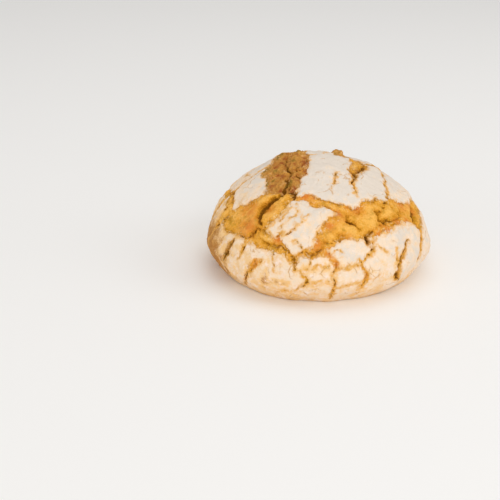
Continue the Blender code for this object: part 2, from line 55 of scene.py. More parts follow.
loaf = {
    "proud": (-0.4, 0.5, 0.5),  # how far lumps stand out of the smooth form: across, deep, up
    "waistHeight": 20.5,        # widest level above the table
    "domePower": 1.70,          # 2 would be an ellipse, less is more pointed
    "footPower": 1.60,
    "footShare": 0.84,          # base radius over widest radius
    "lowestPolar": 112.0,       # rays further down are under the table
    "gridCells": 420,           # cells across the crust before thinning
    "triangles": 194000,
    "reliefFrom": (2.0, 9.0),   # heights above the table over which the relief comes in
    # lumps of the whole dough, here as in every pattern wavelength: height
    "lumps": {52.0: 0.55, 21.0: 0.30},
    # bumps at a place: azimuth, polar angle, height, radius
    "knobs": [(142, 15, 2.4, 4.4), (126, 16.5, 2.8, 3.2), (117, 16, 1.9, 2.2), (133, 13.5, 1.3, 2.0),
              (105, 22, 1.8, 2.6), (110, 35, 1.4, 5.0), (172, 9, 1.4, 6.0), (-118, 28, 2.4, 10.0),
              (-118, 15, 1.6, 7.0), (96, 36, 1.2, 12.0), (-12, 62, 1.0, 14.0),
              (-86, 88, -1.8, 22.0), (94, 64, 1.8, 9.0), (90, 86, -1.0, 14.0)],
    # narrow tears: notches as deep as they are wide
    "tearDepth": 3.3,
    "depthPerHalfWidth": 1.15,
    "notchShare": 0.85,         # share of the half width that the notch's wall takes
    "wallRun": 1.1,
    "edgeRound": 1.3,
    "edgeDrop": 0.6,
    "dropHalf": (0.3, 1.5),     # half widths over which a tear's edge comes to sag
    # wide tears: a step down to pillows of crumb that swell between folds
    "wideHalf": (2.4, 4.5),     # half widths over which a notch turns into a wide tear
    "openHalf": 8.0,            # half width that every wide area counts as
    "openStep": 1.5,
    "foldDip": 1.15,
    "foldRun": 1.9,             # how far a fold's slope reaches
    "foldCut": 1.0,             # extra depth of the fold's own groove, per half width
    "foldLip": 0.7,             # how far outside its edge that groove starts
    "foldSizes": (0.35, 1.6),   # half widths between which a wider fold is a deeper one
    "foldUsual": 1.2,           # half width that has the depth above
    "foldFade": 1.8,            # distance from the tear's edge over which folds come in
    "deepest": 4.2,
    "pillowRise": 1.1,
    "pillowRun": 3.2,
    "puff": {14.0: 0.36, 7.5: 0.20},
    "crumb": {3.6: 0.14, 1.9: 0.08},
    "crumbFrom": (0.3, 2.5),    # distances into a tear over which its crumb comes in
    "toastRough": 1.2,          # how much rougher the brownest crumb is
    "grain": {9.0: 0.17, 4.4: 0.10, 2.3: 0.05},
    "grainFade": 0.8,
    # a tear's edge wanders off its stops by this much
    "wander": {11.0: 0.50, 5.0: 0.38, 2.1: 0.16},
    "toastSwing": {30.0: 0.08, 12.0: 0.05},
    "toastBlend": 1.5,          # how far the brown of one tear reaches into the next
    "openingBlend": 2.5,
    "tearBlend": 1.0,
    "stripStep": 3.0,           # degrees between the points that a tear is drawn through
    # painted shade at the bottom of a narrow tear: share of its half width, half widths, brownness
    "coreShare": (0.12, 0.80),
    "coreHalf": (0.2, 0.6),
    "coreToast": (0.05, 0.40),
    "corePale": 0.4,            # how dark the painted shade of the palest tear still gets
    # painted shade at the bottom of a fold: how far it spreads, share of its half width, half widths
    "foldSpread": 0.6,
    "foldShare": 0.5,
    "foldHalf": (0.1, 0.9),
    "foldDarkRun": 1.0,         # distance from the tear's edge over which that comes in
    # height on a pillow that the crumb's painted light and shade follow: a notch's own, then changes to
    # it
    "notchLevel": 0.45,
    "puffLevel": 0.35,
    "valleyLevel": 0.25,
    "valleyDepth": (0.3, 2.0),
    "levelRange": (0.0, 1.5),
    "borderReach": 15.0,        # distance from a tear's edge past which no colour changes
    "crispTear": 1.6,           # how much crisper the colour's edge is inside a narrow tear
    "rub": 1.3,                 # how much softer it is where the flour was rubbed
    "rubbedEdge": (-2.0, 1.0),  # how the rubbed strips and the worn ones fade in at their edges
    "wornEdge": (-1.6, 0.8),
    # wide torn areas: how brown they baked, then corners of azimuth and polar angle
    "openings": {
        "belt": (0.10, [(-46, 50), (-34, 42), (-22, 44), (-15, 46), (-8, 43.5), (-3, 44.5), (3, 47),
                        (12, 47.5), (17, 50.5), (22, 52.5), (26, 54.5), (31, 53), (38, 51),
                        (48, 51.5), (57, 54.5), (66, 56), (73, 60.5), (82, 65), (98, 68),
                        (98, 76), (84, 76), (77, 79), (72, 78), (69, 74.5), (64, 71), (57, 69),
                        (49, 68.5), (41, 70.5), (35, 71.5), (30.5, 70.5), (28, 73), (26, 71.5),
                        (18, 71), (10, 71.5), (6, 75.5), (6.5, 79), (-3, 78.8), (-8, 79.5),
                        (-8.5, 82.5), (-9.5, 85.5), (-12, 82), (-15.5, 79), (-22, 78.5),
                        (-32, 79), (-38, 77), (-46, 76.5), (-56, 78), (-64, 75), (-60, 64),
                        (-52, 57)]),
        "bareSlope": (0.95, [(-17, 46), (-19.5, 42), (-20.5, 32), (-21, 22.5), (-21.5, 18),
                             (-38, 9.5), (-75, 6), (-108, 7), (-128, 13), (-150, 18),
                             (-162, 27), (-164, 38), (-158, 38), (-152, 31), (-140, 25),
                             (-126, 27), (-116, 33), (-100, 32), (-88, 36), (-76, 42),
                             (-66, 40), (-54, 44), (-46, 50), (-34, 48)]),
        "crownGap": (0.35, [(118, 20), (90, 21.5), (70, 22), (52.5, 25), (43, 30.5), (41, 35),
                            (43, 36.5), (48.5, 33.5), (57, 30.5), (68, 31), (83, 33), (97, 33.5),
                            (106, 29), (122, 27)]),
        "crownRim": (0.85, [(108, 22), (110, 15), (122, 12), (140, 12), (156, 14), (166, 20),
                            (158, 23), (146, 21), (136, 27), (122, 27)]),
    },
    # plates that stand alone inside a torn area
    "islands": {
        "heartPlate": [(-20, 50.5), (-14, 49.3), (-9, 49), (-3, 51.5), (3, 52.2), (9, 53.5),
                       (13, 56), (10, 58.5), (6, 60.5), (3, 63.5), (2.5, 66), (0, 70), (-2, 75),
                       (-6, 76.5), (-9, 78.5), (-13, 77.5), (-16, 74.5), (-20, 72), (-26, 71.5),
                       (-29.5, 69.5), (-28.5, 66.5), (-25.5, 62), (-23, 58.5), (-21, 54)],
    },
    # narrow tears: how brown, then stops of azimuth, polar angle and width
    "tears": {
        "crownTail": (0.40, [(41, 36, 3.0), (36, 39.5, 1.6), (33, 43, 1.2), (35, 45, 0.9),
                             (34.5, 47.5, 0.5)]),
        "crownBack": (0.50, [(160, 19, 3.4), (166, 28, 2.2), (163, 38, 1.6), (168, 48, 1.2)]),
        "slopeBack": (0.60, [(-161, 36, 3.4), (-166, 46, 2.4), (-163, 56, 1.6), (-168, 66, 2.4)]),
        "crownShort": (0.60, [(29.5, 25.5, 1.4), (23, 29.5, 2.2), (18, 33, 1.8), (14.5, 35.5, 0.9),
                              (13.5, 38.5, 0.6)]),
        "rightShoulder": (0.60, [(98, 44, 2.2), (87, 44.6, 2.0), (77, 47, 1.8), (70, 50, 2.2),
                                 (63.5, 53.2, 3.0), (62.5, 56, 3.2)]),
        "farLeft": (0.70, [(-46.5, 79, 2.8), (-48, 81.5, 5.4), (-49, 85, 6.4), (-50.5, 88, 4.8),
                           (-52, 91, 2.2)]),
        "leftNick": (0.35, [(-39, 77, 3.4), (-39, 81, 3.2), (-39.5, 84, 2.0), (-40, 86, 0.9)]),
        "leftLong": (0.12, [(-26.5, 83.5, 1.2), (-29, 86, 3.6), (-31, 88.5, 3.6), (-33, 91, 3.0)]),
        "leftLower": (0.60, [(-33, 91, 3.0), (-35, 94, 2.4), (-37, 98, 1.8), (-39.5, 102, 1.2)]),
        "leftFine": (0.50, [(-21, 78, 1.8), (-20.5, 82, 1.0), (-19.5, 85, 1.0), (-19, 88, 0.7)]),
        "centreLeft": (0.30, [(-9.5, 85, 1.6), (-6, 85.7, 0.9), (-4.5, 88.5, 1.5), (-2.5, 90, 1.8),
                              (-3.5, 91.5, 2.8), (-6, 93.5, 1.6), (-10, 97, 1.3)]),
        "centreGold": (0.15, [(6.5, 78, 3.4), (8.5, 80.5, 4.2), (10, 83, 3.4), (9.5, 85, 1.4)]),
        "centre": (0.45, [(9.5, 84.5, 2.2), (8.5, 89, 2.2), (9.8, 93.5, 2.2), (9.5, 97, 3.2),
                          (9, 102, 2.2)]),
        "centreRight": (0.20, [(21.5, 81.5, 2.0), (24, 85, 2.6), (25.2, 88, 3.8), (24.5, 91, 3.4),
                               (23, 94, 2.6), (23, 97, 2.0)]),
        "notch": (0.85, [(29.5, 69, 3.0), (28.2, 71.5, 4.4), (28, 74, 3.4), (29, 76.5, 1.6)]),
        "notchRight": (0.35, [(32, 72.5, 1.4), (30.5, 75.5, 3.0), (29, 78, 3.2), (26.7, 80.7, 2.6),
                              (24, 82, 1.8), (22, 82, 1.8)]),
        "rightFront": (0.60, [(58, 79, 1.2), (55, 79.7, 2.4), (51, 81.6, 3.0), (48, 83.5, 3.4),
                              (45.5, 86.5, 4.2), (44, 90, 5.0), (44, 94, 4.4), (46, 97, 1.4)]),
        "rightFork": (0.15, [(43.5, 79.5, 0.6), (43.5, 82, 1.4), (43.7, 87, 1.0)]),
        "rightSide": (0.45, [(77, 76, 6.0), (71.5, 81.5, 4.8), (67, 86.5, 3.4), (63, 90.5, 1.6)]),
        "plateSplit": (0.45, [(-22, 71.5, 1.9), (-18.5, 70, 1.3), (-13, 67, 1.5), (-12, 64.8, 1.5),
                              (-9, 62, 1.0), (-5, 58.5, 0.6)]),
        "plateChip": (0.70, [(-12, 72.8, 0.3), (-9, 73.6, 0.6), (-7.5, 74.5, 0.7), (-6.9, 76, 0.5)]),
        "plateFine": (0.30, [(-29, 66.5, 0.7), (-25, 63.5, 1.0), (-20, 61, 0.6)]),
        "plateLeft": (0.30, [(-26, 65.5, 0.6), (-23.5, 62.5, 0.9), (-20.5, 58.5, 0.9), (-18, 55, 0.5)]),
        "plateMiddle": (0.30, [(-20, 67.5, 0.5), (-17.5, 63, 0.9), (-14, 59.5, 0.8), (-11, 56.5, 0.5)]),
        "plateTop": (0.30, [(-15, 53, 0.6), (-12.5, 57, 0.9), (-10, 60, 0.6)]),
        "rimChip": (0.30, [(9.5, 76.5, 1.2), (12, 76, 0.9), (14, 77.5, 0.6), (13.5, 79, 0.5)]),
        "underHeart": (0.60, [(-3, 78.5, 1.0), (-2.5, 80.5, 0.7), (-2.5, 83, 0.5)]),
        "fineRight": (0.50, [(32.5, 76, 0.4), (35, 77.5, 0.6), (38, 80.5, 0.4)]),
        "fineLow": (0.60, [(28.5, 91, 0.7), (32, 89.5, 0.7)]),
        "lowLine": (0.30, [(10, 94.5, 0.8), (15.5, 93, 0.8), (17.5, 91.5, 0.6), (22, 91.5, 0.7)]),
        "fineBase": (0.30, [(-12, 97, 0.6), (-20.5, 100, 0.8), (-22, 106, 0.9)]),
        "tanOne": (0.10, [(-1.5, 91, 0.8), (2.5, 90.5, 0.6), (6.5, 90, 0.8)]),
        "tanTwo": (0.10, [(-5.5, 85.2, 0.6), (-2, 84.1, 1.1), (1.5, 83.9, 1.0), (6, 83.2, 0.7)]),
        "tanThree": (0.05, [(10, 84.4, 1.4), (13, 83.9, 1.7), (17, 83, 1.0), (20, 83.2, 1.5),
                            (23.5, 83, 1.8)]),
        "backHighOne": (0.30, [(127, 53, 0.5), (133, 50.5, 1.4), (140, 52, 1.0), (147, 47, 1.6),
                               (152, 46, 0.6)]),
        "backHighTwo": (0.20, [(173, 57, 0.6), (181, 53, 1.8), (188, 54.5, 1.2), (195, 50, 1.6),
                               (203, 51, 0.6)]),
        "backHighThree": (0.30, [(213, 40, 0.6), (219, 45, 1.6), (228, 46.5, 1.2), (234, 52, 0.6)]),
        "backHighFour": (0.30, [(246, 56, 0.6), (252, 52, 1.4), (259, 53, 1.0), (264, 49, 0.5)]),
        "backLowOne": (0.40, [(133, 88, 0.5), (139, 91, 1.4), (147, 89.5, 1.0), (153, 93, 0.6)]),
        "backLowTwo": (0.30, [(171, 93, 0.6), (178, 90, 1.6), (186, 92.5, 1.2), (191, 89, 0.6)]),
        "backLowThree": (0.40, [(206, 86, 0.5), (213, 89, 1.4), (221, 88, 1.2), (228, 92, 0.6)]),
    },
    # where two pillows of crumb meet inside a torn area
    "folds": [
        [(-25, 43, 2.6), (-18, 46, 2.6), (-20, 50, 1.2)],
        [(-20.5, 52, 1.0), (-11.5, 49, 0.9), (-7, 50.5, 1.8), (-1, 51.7, 1.5), (5, 51.7, 0.8),
         (9.5, 53.5, 1.4), (13.5, 55.7, 0.9)],
        [(-33, 45, 3.4), (-35, 51.5, 4.4), (-38.5, 58, 4.8), (-38.5, 62.5, 4.4), (-36, 65.5, 2.2),
         (-31.5, 69, 1.2), (-28.5, 71.5, 0.7)],
        [(-46, 76.5, 1.6), (-39.5, 76, 1.4), (-36, 73, 1.6), (-35, 70.7, 1.6), (-32, 69.3, 1.2)],
        [(-30.5, 74, 0.8), (-25.5, 75.3, 1.4), (-22.5, 76, 1.0), (-18.5, 76.5, 1.4),
         (-14, 78, 1.4), (-10, 80.5, 1.2), (-9, 83, 1.3), (-9.5, 85.5, 0.8)],
        [(-9.5, 79.5, 0.7), (-7, 78, 1.4), (-4, 78, 1.2), (0, 77.7, 1.2), (3.5, 75.5, 1.6),
         (4.5, 73, 1.0), (10.5, 71, 1.0), (15, 69, 1.1)],
        [(61, 54, 1.6), (52, 57.5, 1.3), (46.5, 58.5, 1.2), (42.5, 60.5, 1.2), (41, 63.5, 1.1),
         (43, 66, 1.4), (47.5, 66, 1.6), (53, 66.8, 1.2), (60, 66.8, 1.0), (66, 63.5, 1.2)],
        [(42, 65.8, 1.0), (38, 66.5, 1.4), (34, 68, 1.2), (30, 69.5, 2.4), (28, 73, 3.0)],
        [(18, 59.5, 0.7), (22, 57.5, 0.8), (27.5, 58, 0.8), (31, 57, 0.5)],
        [(17, 58.5, 0.8), (20, 61.5, 2.2), (22.5, 63.5, 2.2), (25, 67, 0.8)],
        [(88, 66, 2.4), (82, 70.5, 4.0), (76, 72, 3.2), (70, 74.5, 1.6)],
        [(21, 53, 0.8), (27, 55, 1.2), (33, 54.3, 0.8)],
        [(-130, 22, 1.2), (-108, 22, 2.0), (-84, 24, 2.6), (-64, 24.5, 3.0), (-46, 27.5, 3.0),
         (-37, 35, 2.4), (-33, 42, 2.4), (-33, 47, 3.0)],
        [(-60, 9, 1.0), (-46, 13, 1.4), (-42, 22, 1.4), (-41, 28, 1.0)],
        [(-31, 29, 1.8), (-24, 31, 2.2)],
        [(-30, 39, 2.6), (-27, 43.5, 2.0)],
        [(100, 32, 1.6), (75, 30, 2.0), (55, 29, 1.6), (46, 32, 2.6), (41.5, 35.5, 2.4)],
    ],
    # crumb baked orange: azimuth, polar angle, radius, strength
    "orangePatches": [(-10, 45.8, 5.5, 1.0), (-3, 47, 4.0, 0.7), (-16, 46, 3.0, 0.6),
                      (14, 58.5, 5.0, 1.0), (7.5, 63.5, 4.0, 0.9), (0.5, 73.5, 5.5, 0.8),
                      (7.5, 77.5, 4.0, 1.3), (-20.5, 72.5, 3.4, 1.2), (-42, 70, 8.0, 0.9),
                      (-34, 57, 5.0, 0.8), (28, 54, 6.0, 0.8), (73, 62, 6.0, 0.9),
                      (54, 70, 5.0, 1.0), (42, 70, 5.0, 1.0), (36, 71, 4.5, 0.9), (63, 71.5, 5.0, 0.9),
                      (-48, 63, 8.0, 0.8), (24, 89, 3.0, 0.7), (-29, 85.5, 4.5, 0.7),
                      (10, 82, 3.5, 0.7), (17, 70.5, 4.0, 0.5), (82, 68, 6.0, 1.0)],
    # flour rubbed thin: azimuth, polar angle, width
    "wornStrips": [
        [(9.5, 82.5, 3.6), (15, 83.5, 2.6), (22, 83, 3.0)],
        [(10, 94.5, 1.0), (16, 93, 1.6), (23, 91.5, 1.4)],
        [(-28, 77, 1.6), (-22, 84, 1.2), (-24, 90, 2.0), (-16, 94, 1.6)],
        [(-6, 84.5, 1.6), (-1, 84, 2.6), (7, 83.5, 2.2)],
        [(-27, 84, 3.0), (-31, 87, 4.5), (-34, 91, 3.0)],
        [(-1, 93, 1.2), (8, 91.5, 1.2)],
        [(-46, 78, 2.0), (-50, 90, 3.0), (-50, 98, 4.0)],
        [(43.5, 79, 1.5), (42, 88, 2.0), (42, 96, 2.0)],
        [(-24, 93, 6.0), (-12, 92, 3.0)],
        [(13, 56, 1.6), (6, 61, 2.6), (2.5, 66, 2.6), (0, 71, 1.6)],
        [(-20, 53, 1.6), (-24, 60, 2.4), (-28, 66, 3.0), (-28, 70, 2.0)],
        [(-18, 70, 2.0), (-11, 65, 2.0), (-6, 60, 1.4)],
    ],
    # torn edges rubbed soft: azimuth, polar angle, width
    "rubbedEdges": [
        [(-16, 49.5, 2.0), (-20, 51, 5.0), (-24, 58, 8.0), (-28.5, 66, 7.0), (-26, 71.5, 2.0)],
        [(13, 57, 2.5), (5, 62.5, 4.0), (1, 70, 4.0), (-3, 76, 2.0)],
        [(30, 71.5, 4.0), (36, 71.5, 5.0), (44, 71, 5.0), (54, 70.3, 5.0), (66, 72.5, 4.0)],
        [(12, 84, 3.0), (20, 83, 3.0)],
    ],
    # flour by polar angle: thick on the crown, thin low down where the crust was handled and browned; low
    # down it is thinned further as painted warm light bounced up from below
    "flourAndBounceRule": {0: 1.36, 45: 1.26, 55: 0.94, 75: 0.78, 90: 0.66, 100: 0.54, 107: 0.36},
    "flourSide": 0.20,          # how much more lies towards +X
    "flourSwing": {24.0: 0.06, 8.0: 0.05},
    "flourWorn": 0.36,
    "flourRange": (-0.6, 1.5),
    # more flour, or bare brown skin: azimuth, polar angle, radius, change
    "flourPatches": [(-9, 60, 12.0, 0.34), (16, 76, 9.0, 0.2), (-68, 85, 15.0, -0.9),
                     (-84, 96, 21.0, -0.9), (-61, 96, 11.0, -0.9), (56, 85, 16.0, 0.16),
                     (22, 88, 5.0, 0.16), (-22, 104, 12.0, -0.25), (118, 93, 15.0, -0.28),
                     (146, 60, 12.0, -0.22), (168, 96, 16.0, -0.32), (186, 44, 12.0, 0.14),
                     (206, 62, 12.0, -0.26), (228, 90, 14.0, -0.24), (240, 50, 10.0, -0.2)],
    # the far side, laid out by rule: plates grown round middles in rows, the widest tear between
    # the first two rows, and everywhere else cracks that close up here and there
    "farFrom": 95.0,
    "farTo": 300.0,
    "farPolar": (26.0, 36.0),   # polar angles over which the far cracks come in
    # rows of plates: polar angle, step in azimuth, how far a middle strays up or down
    "plateRows": [(51.0, 44.0, 5.0), (88.0, 21.0, 4.0), (106.0, 34.0, 4.0)],
    "rowStart": -0.3,           # first middle and sideways stray, as shares of the row's step
    "rowShift": 0.30,
    "farBelt": (70.0, 8.0, 4.4),            # polar angle, spread and half width in millimetres
    "beltSwing": {33.0: 1.0, 12.0: 0.5},
    "farCrack": 0.75,
    "crackSwing": {26.0: 0.60, 9.0: 0.30},
    "leastHalf": 0.3,
    "farToast": (0.45, -0.3),   # brownness of a far crack, change in the belt
    # one seed for each pattern
    "seeds": {"wander": (1, 11, 21), "farPlates": 5, "lumps": 31, "puff": 41, "crumb": 51,
              "grain": 61, "flourSwing": 71, "beltSwing": 81, "crackSwing": 85, "toastSwing": 91},
}
loaf["halfWidth"] = 0.5 * loafSize.x - loaf["proud"][0]
loaf["halfDepth"] = 0.5 * loafSize.y - loaf["proud"][1]
loaf["height"] = loafSize.z - loaf["proud"][2]


def rayTo(azimuth, polar):
    turn = np.radians(azimuth)
    lean = np.radians(polar)
    flat = np.sin(lean)
    return np.stack([np.sin(turn) * flat, -np.cos(turn) * flat, np.cos(lean)], axis=-1)


def smoothReach(rays):
    # distance to the smooth form along each ray
    waist = loaf["waistHeight"]
    flat = np.hypot(rays[..., 0] / loaf["halfWidth"], rays[..., 1] / loaf["halfDepth"])
    flat = np.maximum(flat, 1e-6)
    up = np.clip(rays[..., 2], 0.0, None) / (loaf["height"] - waist)
    down = np.clip(-rays[..., 2], 0.0, None)
    foot = waist / (1.0 - loaf["footShare"] ** loaf["footPower"]) ** (1.0 / loaf["footPower"])
    dome = (flat ** loaf["domePower"] + up ** loaf["domePower"]) ** (-1.0 / loaf["domePower"])
    flank = (flat ** loaf["footPower"] + (down / foot) ** loaf["footPower"]) ** (-1.0 / loaf["footPower"])
    return np.where(rays[..., 2] >= 0.0, dome, flank)


def ripple(points, wavelength, seed, waves=28):
    # smooth seeded noise of unit spread: plane waves of one length in random directions
    rng = np.random.default_rng(seed)
    heading = rng.normal(size=(waves, 3))
    heading /= np.linalg.norm(heading, axis=1, keepdims=True)
    phase = rng.uniform(0.0, 2.0 * math.pi, waves)
    crests = np.cos(points @ heading.T * (2.0 * math.pi / wavelength) + phase)
    return crests.sum(axis=1) * math.sqrt(2.0 / waves)


def roughen(points, heights, seed):
    # sum of ripples given as wavelength: height
    return sum(height * ripple(points, wavelength, seed + k)
               for k, (wavelength, height) in enumerate(heights.items()))


def swing(points, name):
    # one of the loaf's own patterns, by name
    return roughen(points, loaf[name], loaf["seeds"][name])


def ease(value, start, stop):
    share = np.clip((value - start) / (stop - start), 0.0, 1.0)
    return share * share * (3.0 - 2.0 * share)


def anglesOf(points):
    polar = np.degrees(np.arccos(points[:, 2] / np.linalg.norm(points, axis=1)))
    return np.degrees(np.arctan2(points[:, 0], -points[:, 1])), polar


def hump(points, azimuth, polar, radius):
    # 1 at a place on the crust, falling to 0 round it
    ray = rayTo(azimuth, polar)
    gap = np.linalg.norm(points - ray * smoothReach(ray), axis=1)
    return np.exp(-(gap / radius) ** 2)


def farPlates(points, spots):
    # signed distance to the tears between the far plates, their half width and how brown they are
    rng = np.random.default_rng(loaf["seeds"]["farPlates"])
    middles = []
    for polar, step, stray in loaf["plateRows"]:
        for turn in np.arange(loaf["farFrom"] + loaf["rowStart"] * step, loaf["farTo"] + step, step):
            turn += rng.uniform(-1.0, 1.0) * loaf["rowShift"] * step
            middles.append((turn, polar + rng.uniform(-1.0, 1.0) * stray))
    rays = rayTo(*np.array(middles).T)
    middles = rays * smoothReach(rays)[:, None]
    away = np.linalg.norm(points[:, None, :] - middles[None], axis=2)
    order = np.argsort(away, axis=1)[:, :2]
    row = np.arange(len(points))
    nearest, second = away[row, order[:, 0]], away[row, order[:, 1]]
    between = np.linalg.norm(middles[order[:, 0]] - middles[order[:, 1]], axis=1)
    gap = 0.5 * (second ** 2 - nearest ** 2) / between

    turn, polar = anglesOf(points)
    turn = turn % 360.0
    beltPolar, beltSpread, beltHalf = loaf["farBelt"]
    belt = np.exp(-((polar - beltPolar) / beltSpread) ** 2)
    half = belt * (beltHalf + swing(spots, "beltSwing"))
    half += (1.0 - belt) * (loaf["farCrack"] + swing(spots, "crackSwing"))
    half *= ease(polar, *loaf["farPolar"])
    edge = np.where((turn > loaf["farFrom"]) & (turn < loaf["farTo"]), gap - half, nowhere)
    toast, beltToast = loaf["farToast"]
    return edge, np.clip(half, loaf["leastHalf"], None), toast + beltToast * belt


def cutIntoStrips(tears):
    # short straight strips on the smooth form: start, end, half width at each, how brown
    strips = []
    for toast, stops in tears:
        stops = np.array(stops, dtype=float)
        steps = np.linalg.norm(np.diff(stops[:, :2], axis=0), axis=1)
        along = np.concatenate([[0.0], np.cumsum(steps)])
        places = np.linspace(0.0, along[-1], int(along[-1] / loaf["stripStep"]) + 2)
        azimuth, polar, width = (np.interp(places, along, stops[:, k]) for k in range(3))
        rays = rayTo(azimuth, polar)
        spots = rays * smoothReach(rays)[:, None]
        brown = np.full(len(spots) - 1, toast)
        strips.append(np.column_stack([spots[:-1], spots[1:], 0.5 * width[:-1], 0.5 * width[1:],
                                       brown]))
    return np.concatenate(strips)


def plainStrips(name):
    # strips for drawn lines that have no brownness of their own
    return cutIntoStrips([(0.0, stops) for stops in loaf[name]])


def nearestStrip(points, strips, batch=4000):
    # signed distance to the nearest strip's edge, its half width, and the brownness round about;
    # it works through the points in batches to spare memory
    edge = np.empty(len(points))
    half = np.empty(len(points))
    toast = np.empty(len(points))
    start = strips[:, 0:3].astype(np.float32)
    run = strips[:, 3:6].astype(np.float32) - start
    runSquared = (run ** 2).sum(axis=1)
    points = points.astype(np.float32)
    for first in range(0, len(points), batch):
        part = slice(first, first + batch)
        away = points[part, None, :] - start[None]
        share = np.clip((away * run).sum(axis=2) / runSquared, 0.0, 1.0)
        gap = np.linalg.norm(away - share[..., None] * run, axis=2)
        radius = strips[:, 6] + share * (strips[:, 7] - strips[:, 6])
        beyond = gap - radius
        pick = np.argmin(beyond, axis=1)
        row = np.arange(len(pick))
        edge[part] = beyond[row, pick]
        half[part] = radius[row, pick]
        pull = np.exp(-(beyond - beyond[row, pick][:, None]) / loaf["toastBlend"])
        toast[part] = (pull * strips[:, 8]).sum(axis=1) / pull.sum(axis=1)
    return edge, half, toast


def outlineDistance(points, corners):
    # signed distance to a closed outline on the crust, negative inside it
    corners = np.array(corners + corners[:1], dtype=float)
    ring = cutIntoStrips([(0.0, np.column_stack([corners, np.zeros(len(corners))]))])
    gap = nearestStrip(points, ring)[0]
    middle = 0.5 * (corners[:, 0].min() + corners[:, 0].max())
    azimuth, polar = anglesOf(points)
    azimuth = (azimuth - middle + 180.0) % 360.0 - 180.0 + middle
    inside = np.zeros(len(points), dtype=bool)
    for (az0, pol0), (az1, pol1) in zip(corners[:-1], corners[1:]):
        if pol0 != pol1:
            crossing = az0 + (polar - pol0) / (pol1 - pol0) * (az1 - az0)
            inside ^= ((pol0 > polar) != (pol1 > polar)) & (azimuth < crossing)
    return np.where(inside, -gap, gap)


def findTears(places, spots):
    # signed distance to the edge of the torn crust, the tear's half width and how brown it is
    edge, half, toast = nearestStrip(places, cutIntoStrips(loaf["tears"].values()))
    openEdge = np.full(len(places), nowhere)
    openToast = np.zeros(len(places))
    for brown, corners in loaf["openings"].values():
        gap = outlineDistance(places, corners)
        share = ease(openEdge - gap, -loaf["openingBlend"], loaf["openingBlend"])
        openToast += (brown - openToast) * share
        openEdge = np.minimum(openEdge, gap)
    for corners in loaf["islands"].values():
        openEdge = np.maximum(openEdge, -outlineDistance(places, corners))
    openHalf = np.full(len(places), loaf["openHalf"])
    for otherEdge, otherHalf, otherToast in ((openEdge, openHalf, openToast),
                                             farPlates(places, spots)):
        share = ease(edge - otherEdge, -loaf["tearBlend"], loaf["tearBlend"])
        half = half + (otherHalf - half) * share
        toast = toast + (otherToast - toast) * share
        edge = np.minimum(edge, otherEdge)
    return edge, half, toast


def crustFields(spots):
    # relief in millimetres and the fields that the crust's colours follow
    warp = [roughen(spots, loaf["wander"], seed) for seed in loaf["seeds"]["wander"]]
    places = spots + np.stack(warp, axis=1)
    edge, half, toast = findTears(places, spots)
    foldEdge, foldHalf, _ = nearestStrip(places, plainStrips("folds"))

    # a narrow tear is a notch, a wide one a step down to pillows that swell between the folds
    inside = np.clip(-edge, 0.0, None)
    wide = ease(half, *loaf["wideHalf"])
    notch = np.minimum(loaf["tearDepth"], loaf["depthPerHalfWidth"] * half)
    notch *= ease(inside, 0.0, loaf["notchShare"] * half)
    wall = ease(inside, 0.0, loaf["wallRun"])
    shoulder = loaf["edgeDrop"] * np.exp(-(np.clip(edge, 0.0, None) / loaf["edgeRound"]) ** 2)
    shoulder *= (1.0 - wall) * ease(half, *loaf["dropHalf"])
    depth = notch * (1.0 - wide) + loaf["openStep"] * wall * wide + shoulder

    foldGap = np.clip(foldEdge, 0.0, None)
    foldSize = np.clip(foldHalf, *loaf["foldSizes"]) / loaf["foldUsual"]
    valley = loaf["foldDip"] * foldSize * np.exp(-foldGap / (loaf["foldRun"] * np.sqrt(foldSize)))
    groove = loaf["foldCut"] * foldHalf * ease(-foldEdge, -loaf["foldLip"], foldHalf)
    valley = (valley + groove) * ease(inside, 0.0, loaf["foldFade"])
    rise = 1.0 - np.exp(-np.minimum(inside, foldGap) / loaf["pillowRun"])

    # torn crumb swells and is rough, the plates are only wavy
    torn = ease(inside, *loaf["crumbFrom"])
    puff = swing(spots, "puff")
    relief = loaf["pillowRise"] * rise * wide + puff * wide * torn
    relief += swing(spots, "crumb") * torn * (1.0 + loaf["toastRough"] * toast)
    relief += swing(spots, "grain") * (1.0 - ease(inside, 0.0, loaf["grainFade"]))
    relief -= depth + np.clip(valley, 0.0, loaf["deepest"])
    keep = ease(spots[:, 2] + loaf["waistHeight"], *loaf["reliefFrom"])

    # painted shade in cracks and folds, darkest where they baked brown; painted light up the pillows and
    # painted shade down in the folds
    crackShade = ease(inside / half, *loaf["coreShare"]) * (1.0 - wide) * ease(half, *loaf["coreHalf"])
    crackShade *= loaf["corePale"] + (1.0 - loaf["corePale"]) * ease(toast, *loaf["coreToast"])
    foldShade = ease(-foldEdge, -loaf["foldSpread"], loaf["foldShare"] * foldHalf)
    foldShade = foldShade * ease(foldHalf, *loaf["foldHalf"]) * ease(inside, 0.0, loaf["foldDarkRun"])
    creaseShade = np.maximum(crackShade, foldShade) * keep
    # the crumb's painted light and shade: lighter on pillow tops, darker down in the folds
    level = rise * wide + loaf["notchLevel"] * (1.0 - wide) + loaf["puffLevel"] * puff * wide
    level -= loaf["valleyLevel"] * ease(valley, *loaf["valleyDepth"])
    toast = toast + swing(spots, "toastSwing")

    # where the colour changes: crisp in narrow tears, soft where the flour was rubbed
    rubbed = ease(-nearestStrip(places, plainStrips("rubbedEdges"))[0], *loaf["rubbedEdge"])
    border = np.where(edge < 0.0, edge * (1.0 + loaf["crispTear"] * (1.0 - wide)), edge)
    border /= 1.0 + loaf["rub"] * rubbed
    fields = {"tearEdge": np.clip(border, -loaf["borderReach"], loaf["borderReach"]),
              "creaseShade": creaseShade, "toast": toast, "level": np.clip(level, *loaf["levelRange"])}
    return relief * keep, fields


